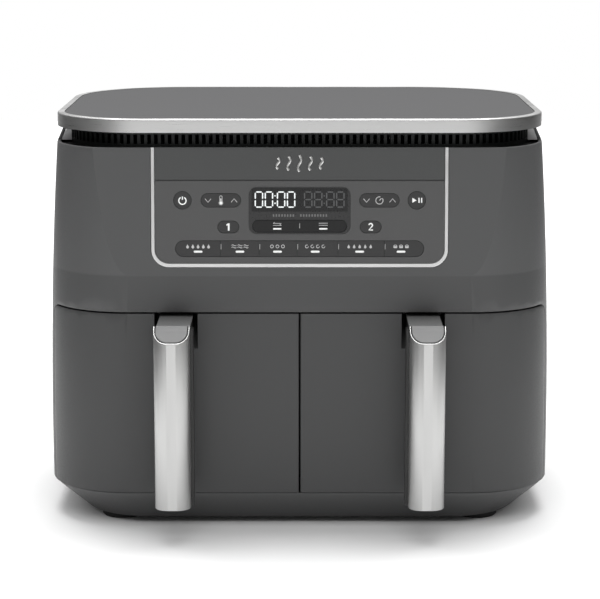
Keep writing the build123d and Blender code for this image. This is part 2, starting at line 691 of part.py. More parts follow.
def drawer_space(inset):
    """The room one drawer front fills, with its walls moved inwards by inset."""
    skin = barrel(DRAWER_LOW_Z + inset, DRAWER_TOP_Z + 2, inset)
    skin &= box(GAP / 2 + inset, 210, -200, 200, 0, 200)
    return skin & extrude(drawer_profile(-inset), 210)


def notch_block(grow, front):
    """The notch for the handle's neck, made larger by grow: its floor slopes in from the drawer's face."""
    face, back = FRONT_Y + front, FRONT_Y + NOTCH_DEPTH + grow
    low, top = NOTCH_LOW_Z - grow, DRAWER_TOP_Z - 1 if grow else DRAWER_TOP_Z + 2
    turn = (FRONT_Y + 1 + grow, low)
    profile = Polyline((face, top), (face, low), turn, (back, top - 8), (back, top), close=True)
    half = NOTCH_HALF + grow
    return Pos(NECK_X - half) * extrude(Plane.YZ * make_face(profile), 2 * half)


def drawer_front(side):
    """Outer front of a drawer: a tray wrapped round the body's corner, with the notch for the neck."""
    outer = drawer_space(0)
    outer = fillet(outer.edges().sort_by_distance((GAP / 2, FRONT_Y, SEAM_Z / 2))[0], 0.8)
    hollow = barrel(DRAWER_LOW_Z + WALL, DRAWER_TOP_Z - WALL, WALL)
    tray = outer - (hollow & box(GAP / 2 + WALL, 210, FRONT_Y, DRAWER_BACK_Y + 1, 0, 200))
    tray += notch_block(2, 1.5)
    tray -= notch_block(0, -2)
    half, low = NECK_HALF + FIT, NECK_LOW_Z - FIT
    tray -= box(NECK_X - half, NECK_X + half, FRONT_Y, FRONT_Y + NOTCH_DEPTH + 5, low, HANDLE_TOP_Z + 0.6)
    return mirrored(tray, side)


def drawer_back_plate(side):
    """Inner face of a drawer front, with the pad that the pan is fixed to."""
    plate = barrel(DRAWER_LOW_Z + WALL + FIT, DRAWER_TOP_Z - WALL - FIT, WALL + FIT)
    plate &= box(GAP / 2 + WALL + FIT, 210, DRAWER_BACK_Y - 2.6, DRAWER_BACK_Y, 0, 200)
    plate += box(BAY_X - 60, BAY_X + 60, DRAWER_BACK_Y - 1, PAN_FRONT_Y, 60, 135)
    return mirrored(plate, side)


def pan_outline(inset):
    """The right-hand pan's plan outline, moved inwards by inset."""
    front, back = PAN_FRONT_Y + inset, PAN_BACK_Y - inset
    radius, back_radius = PAN_RADIUS - inset, PAN_BACK_RADIUS - inset
    return Pos(BAY_X) * rounded(PAN_HALF - inset, front, back, radius, back_radius)


def drawer_pan(side):
    """Deep coated pan with rounded corners and a flange that runs on the rails."""
    pan = slab(pan_outline(0), PAN_LOW_Z, PAN_RIM_Z)
    pan = fillet(pan.edges().group_by(Axis.Z)[0], 6)
    flange = slab(pan_outline(-PAN_FLANGE), PAN_RIM_Z - 1.5, PAN_RIM_Z)
    pan += flange & box(0, 210, PAN_FRONT_Y, 200, 0, 200)
    inside = slab(pan_outline(PAN_WALL), PAN_LOW_Z + PAN_WALL, PAN_RIM_Z + 1)
    inside = fillet(inside.edges().group_by(Axis.Z)[0], 5)
    return mirrored(pan - inside, side)


def crisper_plate(side):
    """Perforated plate that stands in the pan, with a turned-up edge."""
    plate = slab(pan_outline(PLATE_INSET), PLATE_Z, PLATE_Z + 5)
    plate -= slab(pan_outline(PLATE_INSET + 1.4), PLATE_Z + 1.4, PLATE_Z + 6)
    holes = []
    for column in range(-4, 5):
        reach = 6 if abs(column) < 3 else 5
        for row in range(-6, reach):
            holes.append(rod(BAY_X + column * 14.6, BAY_Y + row * 15.0, PLATE_Z - 2, PLATE_Z + 3, 4.2))
    return mirrored(plate - holes, side)


def crisper_bumpers(side):
    """Four silicone feet under the crisper plate that stand on the pan's floor."""
    feet = []
    for dx in (-1, 1):
        for dy in (-1, 1):
            x, y = BAY_X + dx * 58, BAY_Y + dy * 88
            feet.append(mirrored(rod(x, y, PAN_LOW_Z + PAN_WALL + 0.2, PLATE_Z - 0.02, 5.5), side))
    return Compound(children=feet)


def handle_section(half, back_out, front_out, radius, middle=HANDLE_X):
    """The bar's plan section, rounded at the front, in the drawer's own place."""
    front, back = FRONT_Y - front_out, FRONT_Y - back_out
    sketch = Pos(middle, (front + back) / 2) * Rectangle(2 * half, back - front)
    return fillet(sketch.vertices().group_by(Axis.Y)[0], radius)


def above_slope(drop):
    """Everything above the handle's sloping nose and level neck, moved down by drop."""
    out_y, back_y, top = FRONT_Y - HANDLE_REACH, FRONT_Y - COVER_BACK_OUT, HANDLE_TOP_Z - drop
    fall = HANDLE_TOP_Z - NOSE_Z
    beyond = (out_y - 10, top - fall - 10 * fall / (back_y - out_y))
    profile = Polyline((60, top), (back_y, top), beyond, (out_y - 10, 250), (60, 250), close=True)
    return extrude(Plane.YZ * make_face(profile), 260)


def handle_cover(side):
    """Brushed steel channel round the front of the handle."""
    outer = handle_section(HANDLE_HALF, COVER_BACK_OUT, HANDLE_REACH, 10.2)
    inner = handle_section(HANDLE_HALF - HANDLE_WALL, COVER_BACK_OUT - 5, HANDLE_REACH - HANDLE_WALL, 9.4)
    channel = slab(outer, HANDLE_LOW_Z, HANDLE_TOP_Z + 2) - slab(inner, HANDLE_LOW_Z - 1, HANDLE_TOP_Z + 3)
    return mirrored(channel - above_slope(0), side)


def handle_core(side):
    """Moulded handle inside the steel: an upright bar and the neck that carries it from the drawer."""
    low, high = HANDLE_LOW_Z + 0.6, HANDLE_TOP_Z + 2
    bar_y = FRONT_Y - BAR_BACK_OUT
    inset = HANDLE_WALL + 0.1
    rear = slab(handle_section(BAR_REAR_HALF, BAR_BACK_OUT, COVER_BACK_OUT - 0.1, 0.6, NECK_X), low, high)
    rear = fillet(rear.edges().filter_by(Axis.Z).group_by(Axis.Y)[-1], 4)
    front = handle_section(HANDLE_HALF - inset, BAR_BACK_OUT + 5, HANDLE_REACH - inset, 9.3)
    bar = rear + slab(front, low, high)
    x0, x1 = NECK_X - NECK_HALF, NECK_X + NECK_HALF
    neck = box(x0, x1, bar_y - 6, DRAWER_BACK_Y - 2.65, NECK_LOW_Z, 180)
    under = (BAR_BACK_OUT - 2) / 2
    web = box(x0, x1, bar_y - 1, bar_y + under, NECK_LOW_Z - under, NECK_LOW_Z + 1)
    web -= Pos(NECK_X, bar_y + under, NECK_LOW_Z - under) * Rot(0, 90, 0) * Cylinder(under, 60)
    return mirrored((bar + neck + web) - above_slope(CAP_THICK), side)


def handle_cap(side):
    """Top trim of the handle: level over the neck, sloping down inside the steel at the nose."""
    inset = HANDLE_WALL + 0.95
    nose = handle_section(HANDLE_HALF - inset, COVER_BACK_OUT - 0.5, HANDLE_REACH - inset, 8.6)
    x0, x1 = NECK_X - NECK_HALF, NECK_X + NECK_HALF
    back = box(x0, x1, FRONT_Y - COVER_BACK_OUT, FRONT_Y + NOTCH_DEPTH - 0.5, 140, 180)
    above_core = (slab(nose, 140, 180) + back) & above_slope(CAP_THICK - 0.02)
    return mirrored(above_core - above_slope(0), side)


# ---------------------------------------------------------------- write one STEP per node
def all_parts():
    """Every node's name and the shape it holds."""
    parts = {
        "main_housing": main_housing,
        "base_tray": base_tray,
        "rubber_feet": rubber_feet,
        "front_frame": front_frame,
        "rear_cover": rear_cover,
        "cord_gland": cord_gland,
        "lid_plate": lid_plate,
        "lid_trim_band": lid_trim_band,
        "intake_grille": intake_grille,
        "control_fascia": control_fascia,
        "fascia_trim": fascia_trim,
        "display_lens": display_lens,
        "display_digits": display_digits,
        "control_board": control_board,
        "power_board": power_board,
        "drawer_rails": drawer_rails,
        "door_switches": door_switches,
        "temperature_sensors": temperature_sensors,
        "case_screws": case_screws,
    }
    for name in KEYS:
        build = rocker_key if name in ROCKERS else plain_key
        parts[name] = lambda name=name, build=build: build(name)
    for index, name in enumerate(FUNCTION_KEYS):
        parts[name] = lambda index=index: function_key(index)
    both_sides = (
        cavity_liner, heating_element, fan_shroud, fan_motor, convection_fan, motor_rotor,
        drawer_front, drawer_back_plate, drawer_pan, crisper_plate, crisper_bumpers,
        handle_cover, handle_core, handle_cap,
    )
    for build in both_sides:
        for word, side in SIDES.items():
            parts[f"{build.__name__}_{word}"] = lambda build=build, side=side: build(side)
    return parts


os.makedirs("parts", exist_ok=True)
for node, make in all_parts().items():
    export_step(make(), f"parts/{node}.step")
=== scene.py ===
import json
import math

import bmesh
import bpy
from mathutils import Matrix, Vector


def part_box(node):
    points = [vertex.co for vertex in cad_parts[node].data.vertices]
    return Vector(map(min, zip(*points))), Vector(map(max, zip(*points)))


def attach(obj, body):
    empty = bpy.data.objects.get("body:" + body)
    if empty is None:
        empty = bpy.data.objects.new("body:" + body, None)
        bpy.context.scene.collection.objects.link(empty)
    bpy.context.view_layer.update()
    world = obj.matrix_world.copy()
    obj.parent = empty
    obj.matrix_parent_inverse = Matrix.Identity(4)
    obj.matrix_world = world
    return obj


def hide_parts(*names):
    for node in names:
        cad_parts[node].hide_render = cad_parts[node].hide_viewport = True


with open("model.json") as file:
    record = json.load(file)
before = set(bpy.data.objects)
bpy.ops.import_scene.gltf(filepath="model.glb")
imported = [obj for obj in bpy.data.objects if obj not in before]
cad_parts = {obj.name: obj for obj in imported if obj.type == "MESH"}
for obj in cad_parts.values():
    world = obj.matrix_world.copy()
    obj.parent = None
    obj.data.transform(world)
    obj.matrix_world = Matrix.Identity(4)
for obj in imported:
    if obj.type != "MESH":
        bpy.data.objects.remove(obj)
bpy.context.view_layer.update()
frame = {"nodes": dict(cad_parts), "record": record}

nodes = frame["nodes"]
MM = 0.001

# The control panel's plane: its foot is where the upper front starts to lean back by LEAN.
LEAN = math.radians(5.0)
CREASE_Z = 198.8
FRONT_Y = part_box("main_housing")[0].y / MM


def panel_matrix(u, z, w=0.0):
    """Local x right, y up the leaning panel, z out of it, with its origin at height z and w mm proud."""
    right = Vector((1, 0, 0))
    up = Vector((0, math.sin(LEAN), math.cos(LEAN)))
    out = right.cross(up)
    v = (z - CREASE_Z) / math.cos(LEAN)
    place = Vector((u, FRONT_Y, CREASE_Z)) + up * v + out * w
    m = Matrix((right, up, out)).transposed().to_4x4()
    m.translation = place * MM
    return m


# ---------------------------------------------------------------- materials
class Nodes:
    """A thin helper round one material's node tree."""

    def __init__(self, name):
        self.mat = bpy.data.materials.new(name)
        self.mat.use_nodes = True
        self.tree = self.mat.node_tree
        self.tree.nodes.clear()
        self.out = self.tree.nodes.new("ShaderNodeOutputMaterial")
        self.bsdf = self.tree.nodes.new("ShaderNodeBsdfPrincipled")
        self.link(self.bsdf.outputs[0], self.out.inputs[0])
        self.coords = self.tree.nodes.new("ShaderNodeTexCoord").outputs["Object"]

    def link(self, a, b):
        self.tree.links.new(a, b)

    def noise(self, scale, detail=3.0, stretch=(1, 1, 1), rough=0.55):
        """Noise at `scale` grains a metre, drawn out along each axis whose stretch is below 1."""
        mapping = self.tree.nodes.new("ShaderNodeMapping")
        mapping.inputs["Scale"].default_value = tuple(scale * s for s in stretch)
        self.link(self.coords, mapping.inputs["Vector"])
        node = self.tree.nodes.new("ShaderNodeTexNoise")
        node.inputs["Scale"].default_value = 1.0
        node.inputs["Detail"].default_value = detail
        node.inputs["Roughness"].default_value = rough
        self.link(mapping.outputs[0], node.inputs["Vector"])
        return node.outputs["Fac"]

    def span(self, value, low, high, at=(0.3, 0.7)):
        """Maps a value from the `at` range to low..high."""
        node = self.tree.nodes.new("ShaderNodeMapRange")
        node.inputs["From Min"].default_value = at[0]
        node.inputs["From Max"].default_value = at[1]
        node.inputs["To Min"].default_value = low
        node.inputs["To Max"].default_value = high
        self.link(value, node.inputs["Value"])
        return node.outputs[0]

    def mix(self, factor, a, b):
        """A colour between a and b; each may be a colour or a socket."""
        node = self.tree.nodes.new("ShaderNodeMix")
        node.data_type = "RGBA"
        self.link(factor, node.inputs["Factor"])
        for value, socket in ((a, node.inputs["A"]), (b, node.inputs["B"])):
            if isinstance(value, bpy.types.NodeSocket):
                self.link(value, socket)
            else:
                socket.default_value = (*value, 1)
        return node.outputs["Result"]

    def bump(self, height, strength, distance):
        """A normal tilted by a height whose full depth is `distance` metres."""
        node = self.tree.nodes.new("ShaderNodeBump")
        node.inputs["Strength"].default_value = strength
        node.inputs["Distance"].default_value = distance
        self.link(height, node.inputs["Height"])
        return node.outputs[0]

    def axis(self, name):
        """The object coordinate along one axis, in metres."""
        node = self.tree.nodes.new("ShaderNodeSeparateXYZ")
        self.link(self.coords, node.inputs[0])
        return node.outputs[name]

    def math(self, operation, a, b=None):
        """One sum; each side may be a number or a socket."""
        node = self.tree.nodes.new("ShaderNodeMath")
        node.operation = operation
        for value, socket in ((a, node.inputs[0]), (b, node.inputs[1])):
            if isinstance(value, bpy.types.NodeSocket):
                self.link(value, socket)
            elif value is not None:
                socket.default_value = value
        return node.outputs[0]

    def retint(self, mask, colour):
        """Turns the base colour into `colour` where the mask is 1."""
        old = self.bsdf.inputs["Base Color"].links[0].from_socket
        self.link(self.mix(mask, old, colour), self.bsdf.inputs["Base Color"])


def grey(value):
    """A neutral linear colour."""
    return (value, value, value)


def scaled(colour, k):
    """A colour made lighter or darker, never past 1."""
    return tuple(min(1.0, c * k) for c in colour)


def plastic(name, colour, rough=0.45, grain=1500, bump=0.10, mottle=0.05, spec=0.5):
    """Moulded plastic: a fine spark-eroded grain, faint large mottling and uneven gloss."""
    n = Nodes(name)
    base = n.mix(n.noise(9, 2), scaled(colour, 1 - mottle), scaled(colour, 1 + mottle))
    fleck = n.mix(n.noise(grain * 0.8, 2), scaled(colour, 0.93), scaled(colour, 1.07))
    n.link(n.mix(n.span(n.noise(40, 2), 0.3, 0.6), base, fleck), n.bsdf.inputs["Base Color"])
    n.link(n.span(n.noise(grain * 0.5, 3), rough - 0.05, rough + 0.06), n.bsdf.inputs["Roughness"])
    n.bsdf.inputs["Specular IOR Level"].default_value = spec
    n.link(n.bump(n.noise(grain, 3), bump, 0.00025), n.bsdf.inputs["Normal"])
    return n


def brushed(name, colour, along, rough=0.30, spread=0.10, lines=2600, tone=0.05):
    """Brushed metal: fine lines that run along one axis, in colour, gloss and height."""
    stretch = tuple(0.010 if axis in along else 1.0 for axis in "xyz")
    n = Nodes(name)
    streak = n.noise(lines, 4, stretch, 0.65)
    broad = n.noise(260, 3, stretch, 0.6)
    fine = n.mix(streak, scaled(colour, 1 - tone), scaled(colour, 1 + tone))
    n.link(n.mix(n.span(broad, 0.0, 0.7), fine, scaled(colour, 0.96)), n.bsdf.inputs["Base Color"])
    n.bsdf.inputs["Metallic"].default_value = 1.0
    n.link(n.span(streak, rough - spread, rough + spread), n.bsdf.inputs["Roughness"])
    n.link(n.bump(streak, 0.12, 0.00005), n.bsdf.inputs["Normal"])
    return n


def metal(name, colour, rough, grain=500, tone=0.06):
    """Plain sheet or cast metal with soft stains and a light grain."""
    n = Nodes(name)
    stains = n.mix(n.noise(22, 4), scaled(colour, 1 - tone), scaled(colour, 1 + tone))
    n.link(stains, n.bsdf.inputs["Base Color"])
    n.bsdf.inputs["Metallic"].default_value = 1.0
    n.link(n.span(n.noise(60, 3), rough - 0.06, rough + 0.08), n.bsdf.inputs["Roughness"])
    n.link(n.bump(n.noise(grain, 2), 0.06, 0.0002), n.bsdf.inputs["Normal"])
    return n


HOUSING = (0.086, 0.0867, 0.0877)
# The drawers' plastic is the housing's colour darkened: painted shade on the lower front.
drawer = plastic("drawer_plastic_painted_shade", scaled(HOUSING, 0.64), 0.46, 1500, 0.12, 0.05, 0.38)
black = plastic("black_plastic", grey(0.010), 0.45, 1300, 0.10)
deep_black = plastic("louvre_plastic", (0.0035, 0.0050, 0.0045), 0.50, 1300, 0.08, 0.05, 0.35)
rear = plastic("rear_plastic", grey(0.020), 0.50, 1300, 0.12)
cap = plastic("cap_plastic", (0.172, 0.173, 0.173), 0.42, 1700, 0.07)
key = plastic("key_plastic", (0.040, 0.040, 0.0403), 0.46, 2400, 0.04, 0.02, 0.35)
dark_key = plastic("pair_key_plastic", (0.014, 0.014, 0.0143), 0.42, 2400, 0.03, 0.02, 0.35)
rubber = plastic("rubber", grey(0.014), 0.72, 900, 0.25, 0.08, 0.3)
silicone = plastic("silicone", grey(0.030), 0.60, 900, 0.12, 0.05, 0.4)
switch = plastic("switch_plastic", grey(0.015), 0.40, 1200, 0.08)
nonstick = plastic("nonstick_coating", (0.020, 0.020, 0.021), 0.30, 700, 0.16, 0.08, 0.6)
board = plastic("board_resist", (0.012, 0.070, 0.030), 0.28, 500, 0.08, 0.10)
steel_up = brushed("steel_upright", (0.50, 0.50, 0.495), "z", 0.42, 0.10, 2000, 0.09)
steel_round = brushed("steel_band", (0.62, 0.62, 0.615), "xy", 0.36)
trim = brushed("trim_bright", (0.86, 0.86, 0.855), "xz", 0.34, 0.04, 500, 0.02)
liner = metal("liner_sheet", (0.55, 0.55, 0.54), 0.34, 300, 0.08)
heater = metal("heater_sheath", (0.30, 0.27, 0.25), 0.42, 600, 0.14)
motor = metal("motor_casting", (0.42, 0.42, 0.42), 0.44, 700, 0.06)
zinc = metal("zinc_plate", (0.60, 0.60, 0.57), 0.30, 900, 0.06)


# Where the tone changes within one moulding: from and to, in metres. On the base and on the lid's skirt
# the change is painted shade and painted light.
PAINTED_SHADE_TUCK = (0.006, 0.027)  # base tray, height: where the painted shade under the tuck runs
SKIRT_PAINTED_LIGHT_TOP = (0.3064, 0.3067)  # lid plate, height: below it the skirt carries painted light
GROOVE = (0.2702, 0.2708)  # fascia, height
WINDOW_LOW = (0.2465, 0.2472)  # display, height
WINDOW_TOP = (0.2645, 0.2650)
WINDOW_SIDE = (0.0362, 0.0368)  # display, from its middle


def housing_moulding():
    """The housing's plastic, with painted shade on the front below the crease."""
    n = plastic("housing_plastic", HOUSING, 0.46, 1500, 0.12, 0.05, 0.38)
    below = n.span(n.axis("Z"), 1, 0, ((CREASE_Z - 1.5) * MM, CREASE_Z * MM))
    ahead = n.span(n.axis("Y"), 1, 0, ((FRONT_Y + 20) * MM, (FRONT_Y + 110) * MM))
    # Painted shade: the front below the crease is darkened.
    n.retint(n.math("MULTIPLY", below, ahead), scaled(HOUSING, 0.76))
    return n


def base_moulding():
    """The base's plastic: the housing's colour, a little darkened, at its top edge and darker where it
    tucks under, all painted shade.
    """
    n = plastic("base_plastic", scaled(HOUSING, 0.88), 0.50, 1400, 0.12)
    # Painted shade towards the underside.
    n.retint(n.span(n.axis("Z"), 1, 0, PAINTED_SHADE_TUCK), scaled(HOUSING, 0.42))
    return n


def lid_moulding():
    """The lid's plastic, with painted light on the skirt beside the louvre: a pale grey."""
    n = plastic("lid_plastic", (0.050, 0.050, 0.0518), 0.46, 1800, 0.06, 0.03, 0.4)
    # Painted light: the skirt, which faces down into shade, is coloured pale grey.
    n.retint(n.span(n.axis("Z"), 1, 0, SKIRT_PAINTED_LIGHT_TOP), grey(0.85))
    return n


def panel_fascia():
    """The fascia's plastic, with the badge strip above the groove a little darker."""
    n = plastic("fascia_two_tone", (0.080, 0.080, 0.0805), 0.42, 2200, 0.04, 0.02)
    n.retint(n.span(n.axis("Z"), 0, 1, GROOVE), (0.062, 0.0637, 0.0637))
    return n


def smoked_display():
    """Smoked display block: a darker window behind the digits, lighter below it."""
    n = plastic("display_smoke_plastic", (0.034, 0.034, 0.0345), 0.30, 2400, 0.02, 0.02)
    above_low = n.span(n.axis("Z"), 0, 1, WINDOW_LOW)
    below_top = n.span(n.axis("Z"), 1, 0, WINDOW_TOP)
    high = n.math("MULTIPLY", above_low, below_top)
    wide = n.span(n.math("ABSOLUTE", n.axis("X")), 1, 0, WINDOW_SIDE)
    n.retint(n.math("MULTIPLY", high, wide), (0.013, 0.013, 0.0135))
    return n


def lit(name, colour, glow):
    """Printed or lit white ink."""
    n = Nodes(name)
    n.link(n.mix(n.noise(3000, 2), scaled(colour, 0.95), colour), n.bsdf.inputs["Base Color"])
    n.bsdf.inputs["Roughness"].default_value = 0.5
    n.bsdf.inputs["Emission Color"].default_value = (*colour, 1)
    n.bsdf.inputs["Emission Strength"].default_value = glow
    return n


ink = lit("white_ink", (0.80, 0.81, 0.80), 0.22)
ink_soft = lit("soft_ink", (0.52, 0.52, 0.52), 0.10)
ink_line = lit("separator_ink", (0.42, 0.42, 0.42), 0.0)
digit_on = lit("digit_lit", (0.86, 0.90, 0.90), 0.30)
digit_off = lit("digit_dim", (0.090, 0.092, 0.094), 0.10)
caption = lit("caption_ink", (0.17, 0.17, 0.17), 0.05)
badge = brushed("badge_silver", (0.66, 0.66, 0.65), "x", 0.28, 0.05, 1500, 0.03)

BY_SLOT = {
    "housing_grey": housing_moulding(),
    "base_grey": base_moulding(),
    "inner_black": black,
    "rubber_black": rubber,
    "silicone": silicone,
    "lid_grey": lid_moulding(),
    "brushed_steel": steel_up,
    "bright_trim": trim,
    "fascia_grey": panel_fascia(),
    "key_grey": key,
    "display_smoke": smoked_display(),
    "display_light": digit_on,
    "cap_grey": cap,
    "nonstick": nonstick,
    "liner_steel": liner,
    "heater_steel": heater,
    "motor_metal": motor,
    "board_green": board,
    "switch_black": switch,
    "screw_zinc": zinc,
}
BY_NODE = {
    "lid_trim_band": steel_round,
    "drawer_front_left": drawer,
    "drawer_front_right": drawer,
    "intake_grille": deep_black,
    "rear_cover": rear,
    "sync_match_rocker": dark_key,
}
slot_of = {s["node"]: s["material_slot"] for s in frame["record"]["subparts"]}


# ---------------------------------------------------------------- CAD nodes: soft edges and finish
EDGE = {  # bevel width in mm on each node that shows
    "main_housing": 0.7, "drawer_front_left": 0.7, "drawer_front_right": 0.7, "base_tray": 0.6,
    "lid_plate": 0.25, "fascia_trim": 0.25, "handle_core_left": 0.5, "handle_core_right": 0.5,
    "handle_cover_left": 0.3, "handle_cover_right": 0.3, "handle_cap_left": 0.35, "handle_cap_right": 0.35,
    "rear_cover": 0.4, "drawer_pan_left": 0.3, "drawer_pan_right": 0.3, "display_lens": 0.15,
    "cord_gland": 0.3, "cavity_liner_left": 0.2, "cavity_liner_right": 0.2,
}
KEY_EDGE = 0.12  # the same for every key
SHARP = math.radians(32)  # edges turning by more than this are rounded
WELD = 1e-6


def soften(obj, width):
    """Welds the tessellated solid, rounds its edges and keeps the flats flat."""
    weld = obj.modifiers.new("weld", "WELD")
    weld.merge_threshold = WELD
    bevel = obj.modifiers.new("soft_edges", "BEVEL")
    bevel.width = width * MM
    bevel.segments = 2
    bevel.limit_method = "ANGLE"
    bevel.angle_limit = SHARP
    bevel.use_clamp_overlap = True
    bevel.harden_normals = True


for name, obj in nodes.items():
    chosen = BY_NODE.get(name) or BY_SLOT[slot_of[name]]
    obj.data.materials.clear()
    obj.data.materials.append(chosen.mat)
    width = EDGE.get(name, KEY_EDGE if slot_of[name] == "key_grey" else 0)
    if width:
        soften(obj, width)


# ---------------------------------------------------------------- small printed and raised details
def finish_piece(obj, material, body):
    """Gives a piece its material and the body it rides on."""
    obj.data.materials.clear()
    obj.data.materials.append(material.mat)
    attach(obj, body)
    return obj


def flat_shapes(name, outlines, thick, matrix):
    """Closed outlines in mm, each made a thin solid `thick` mm high, on the plane that matrix gives."""
    bm = bmesh.new()
    for outline in outlines:
        low = [bm.verts.new((x, y, 0)) for x, y in outline]
        high = [bm.verts.new((x, y, thick)) for x, y in outline]
        bm.faces.new(list(reversed(low)))
        bm.faces.new(high)
        for i in range(len(low)):
            j = (i + 1) % len(low)
            bm.faces.new((low[i], low[j], high[j], high[i]))
    bmesh.ops.recalc_face_normals(bm, faces=bm.faces)
    bmesh.ops.scale(bm, vec=(MM, MM, MM), verts=bm.verts)
    bmesh.ops.transform(bm, matrix=matrix, verts=bm.verts)
    mesh = bpy.data.meshes.new(name)
    bm.to_mesh(mesh)
    bm.free()
    obj = bpy.data.objects.new(name, mesh)
    bpy.context.scene.collection.objects.link(obj)
    return obj


def strokes(name, lines, width, thick, matrix):
    """Rounded ribbons along 2D lines in mm: closed lines repeat their first point."""
    curve = bpy.data.curves.new(name + "_path", "CURVE")
    curve.dimensions = "3D"
    curve.bevel_depth = width / 2
    curve.bevel_resolution = 3
    curve.use_fill_caps = True
    for line in lines:
        closed = len(line) > 2 and line[0] == line[-1]
        points = line[:-1] if closed else line
        spline = curve.splines.new("POLY")
        spline.points.add(len(points) - 1)
        for target, (x, y) in zip(spline.points, points):
            target.co = (x, y, 0, 1)
        spline.use_cyclic_u = closed
    maker = bpy.data.objects.new(name + "_path", curve)
    mesh = bpy.data.meshes.new_from_object(maker)
    mesh.name = name
    bpy.data.objects.remove(maker)
    flatten = Matrix.Diagonal((MM, MM, MM * 2 * thick / width, 1))
    mesh.transform(flatten)
    mesh.transform(matrix)
    for face in mesh.polygons:
        face.use_smooth = True
    obj = bpy.data.objects.new(name, mesh)
    bpy.context.scene.collection.objects.link(obj)
    return obj


def arc(cx, cy, r, start, end, steps=20):
    """Points of an arc, in degrees."""
    return [
        (cx + r * math.cos(math.radians(start + (end - start) * i / steps)),
         cy + r * math.sin(math.radians(start + (end - start) * i / steps)))
        for i in range(steps + 1)
    ]


def ring(cx, cy, r, steps):
    """A closed circle: its last point is its first."""
    points = arc(cx, cy, r, 0, 360, steps)
    points[-1] = points[0]
    return points


def bar(cx, cy, width, height):
    """A pill outline."""
    r = height / 2 - 0.001
    right, left = cx + width / 2 - r, cx - width / 2 + r
    return arc(right, cy, r, -90, 90, 8) + arc(left, cy, r, 90, 270, 8)


def block(cx, cy, width, height):
    """An upright rectangle outline."""
    x, y = width / 2, height / 2
    return [(cx - x, cy - y), (cx + x, cy - y), (cx + x, cy + y), (cx - x, cy + y)]


def shift(points, dx, dy):
    """The same points, moved."""
    return [(x + dx, y + dy) for x, y in points]


KEY_FACE = -0.25  # the keys' faces lie this far behind the panel's plane
LENS_FACE = 0.15  # the display's face stands this far out of it
PRINT = 0.06  # how thick the ink lies

# Key centres on the panel, as in the CAD: across and height, in mm.
POWER, START = (-89.0, 255.4), (89.0, 255.4)
TEMP, TIME = (-59.8, 255.4), (60.6, 255.4)
ZONE = {"one": (-54.2, 235.2), "two": (54.0, 235.2)}
PAIR = (0.0, 235.8)
STRIP_Z = 218.7
SPLITS = (-60.3, -30.8, -1.9, 29.2, 64.6)
LABELS = (-77.3, -45.4, -16.9, 11.8, 45.7, 77.2)
FUNCTIONS = ("max_heat", "air_fry", "roast", "reheat", "dehydrate", "bake")


def flat_print(name, outlines, centre, material, key, thick=PRINT):
    """Filled shapes printed on a key, moving with it."""
    piece = flat_shapes(name, outlines, thick, panel_matrix(*centre, KEY_FACE))
    return finish_piece(piece, material, f"{key}_cap")


def line_print(name, lines, width, centre, material, key):
    """Lines printed on a key, moving with it."""
    piece = strokes(name, lines, width, PRINT, panel_matrix(*centre, KEY_FACE))
    return finish_piece(piece, material, f"{key}_cap")


power = [arc(0, -0.3, 2.75, 118, 422, 26), [(0, 0.4), (0, 2.9)]]
line_print("power_mark", power, 0.95, POWER, ink, "power_key")

play = [[(-3.4, -1.9), (-0.2, 0), (-3.4, 1.9)]]
pause = [block(x, 0, 0.9, 3.8) for x in (1.65, 3.65)]
flat_print("start_stop_mark", play + pause, START, ink, "start_stop_key")

chevrons = [[(-12.1, 1.2), (-9.8, -1.5), (-7.5, 1.2)], [(7.7, -1.5), (10.0, 1.2), (12.3, -1.5)]]
for name, centre in (("temperature", TEMP), ("time", TIME)):
    line_print(f"{name}_arrows", chevrons, 0.55, centre, ink_soft, f"{name}_rocker")
tube = arc(0, 2.5, 0.95, 0, 180, 8) + arc(0, -2.0, 1.45, 130, 410, 18)
tube.append(tube[0])
line_print("temperature_glass", [tube], 0.45, TEMP, ink_soft, "temperature_rocker")
mercury = [arc(0, -2.0, 1.1, 0, 360, 16)[:-1], block(0, 0, 0.6, 2.8)]
flat_print("temperature_fill", mercury, TEMP, ink, "temperature_rocker")
clock = [arc(0, -0.1, 2.75, 75, 395, 26), [(0, -0.1), (1.5, 1.5)]]
line_print("time_clock", clock, 0.6, TIME, ink_soft, "time_rocker")

one = [(-0.4, -2.8), (0.95, -2.8), (0.95, 2.8), (-0.3, 2.8), (-1.75, 1.75), (-1.15, 0.85), (-0.4, 1.35)]
flat_print("zone_one_digit", [one], ZONE["one"], ink, "zone_one_key")
two = [arc(0, 1.25, 1.35, 170, -25, 14) + [(-1.35, -2.3), (1.75, -2.3)]]
line_print("zone_two_digit", two, 1.05, ZONE["two"], ink, "zone_two_key")


def flame(cx, cy, h):
    """A small flame or drop outline, point up."""
    half = h / 2
    body = arc(cx, cy - half * 0.35, h * 0.33, -220, 40, 12)
    return body + [(cx, cy + half)]


def wave(cx, cy, width, height, steps=14):
    """One sine wave along x."""
    return [
        (cx - width / 2 + width * i / steps, cy + height / 2 * math.sin(2 * math.pi * i / steps))
        for i in range(steps + 1)
    ]


def upright(points):
    """A line turned to run up instead of across."""
    return [(-y, x) for x, y in points]


def spots(gap, count=3):
    """Positions of a centred row."""
    return [(i - (count - 1) / 2) * gap for i in range(count)]


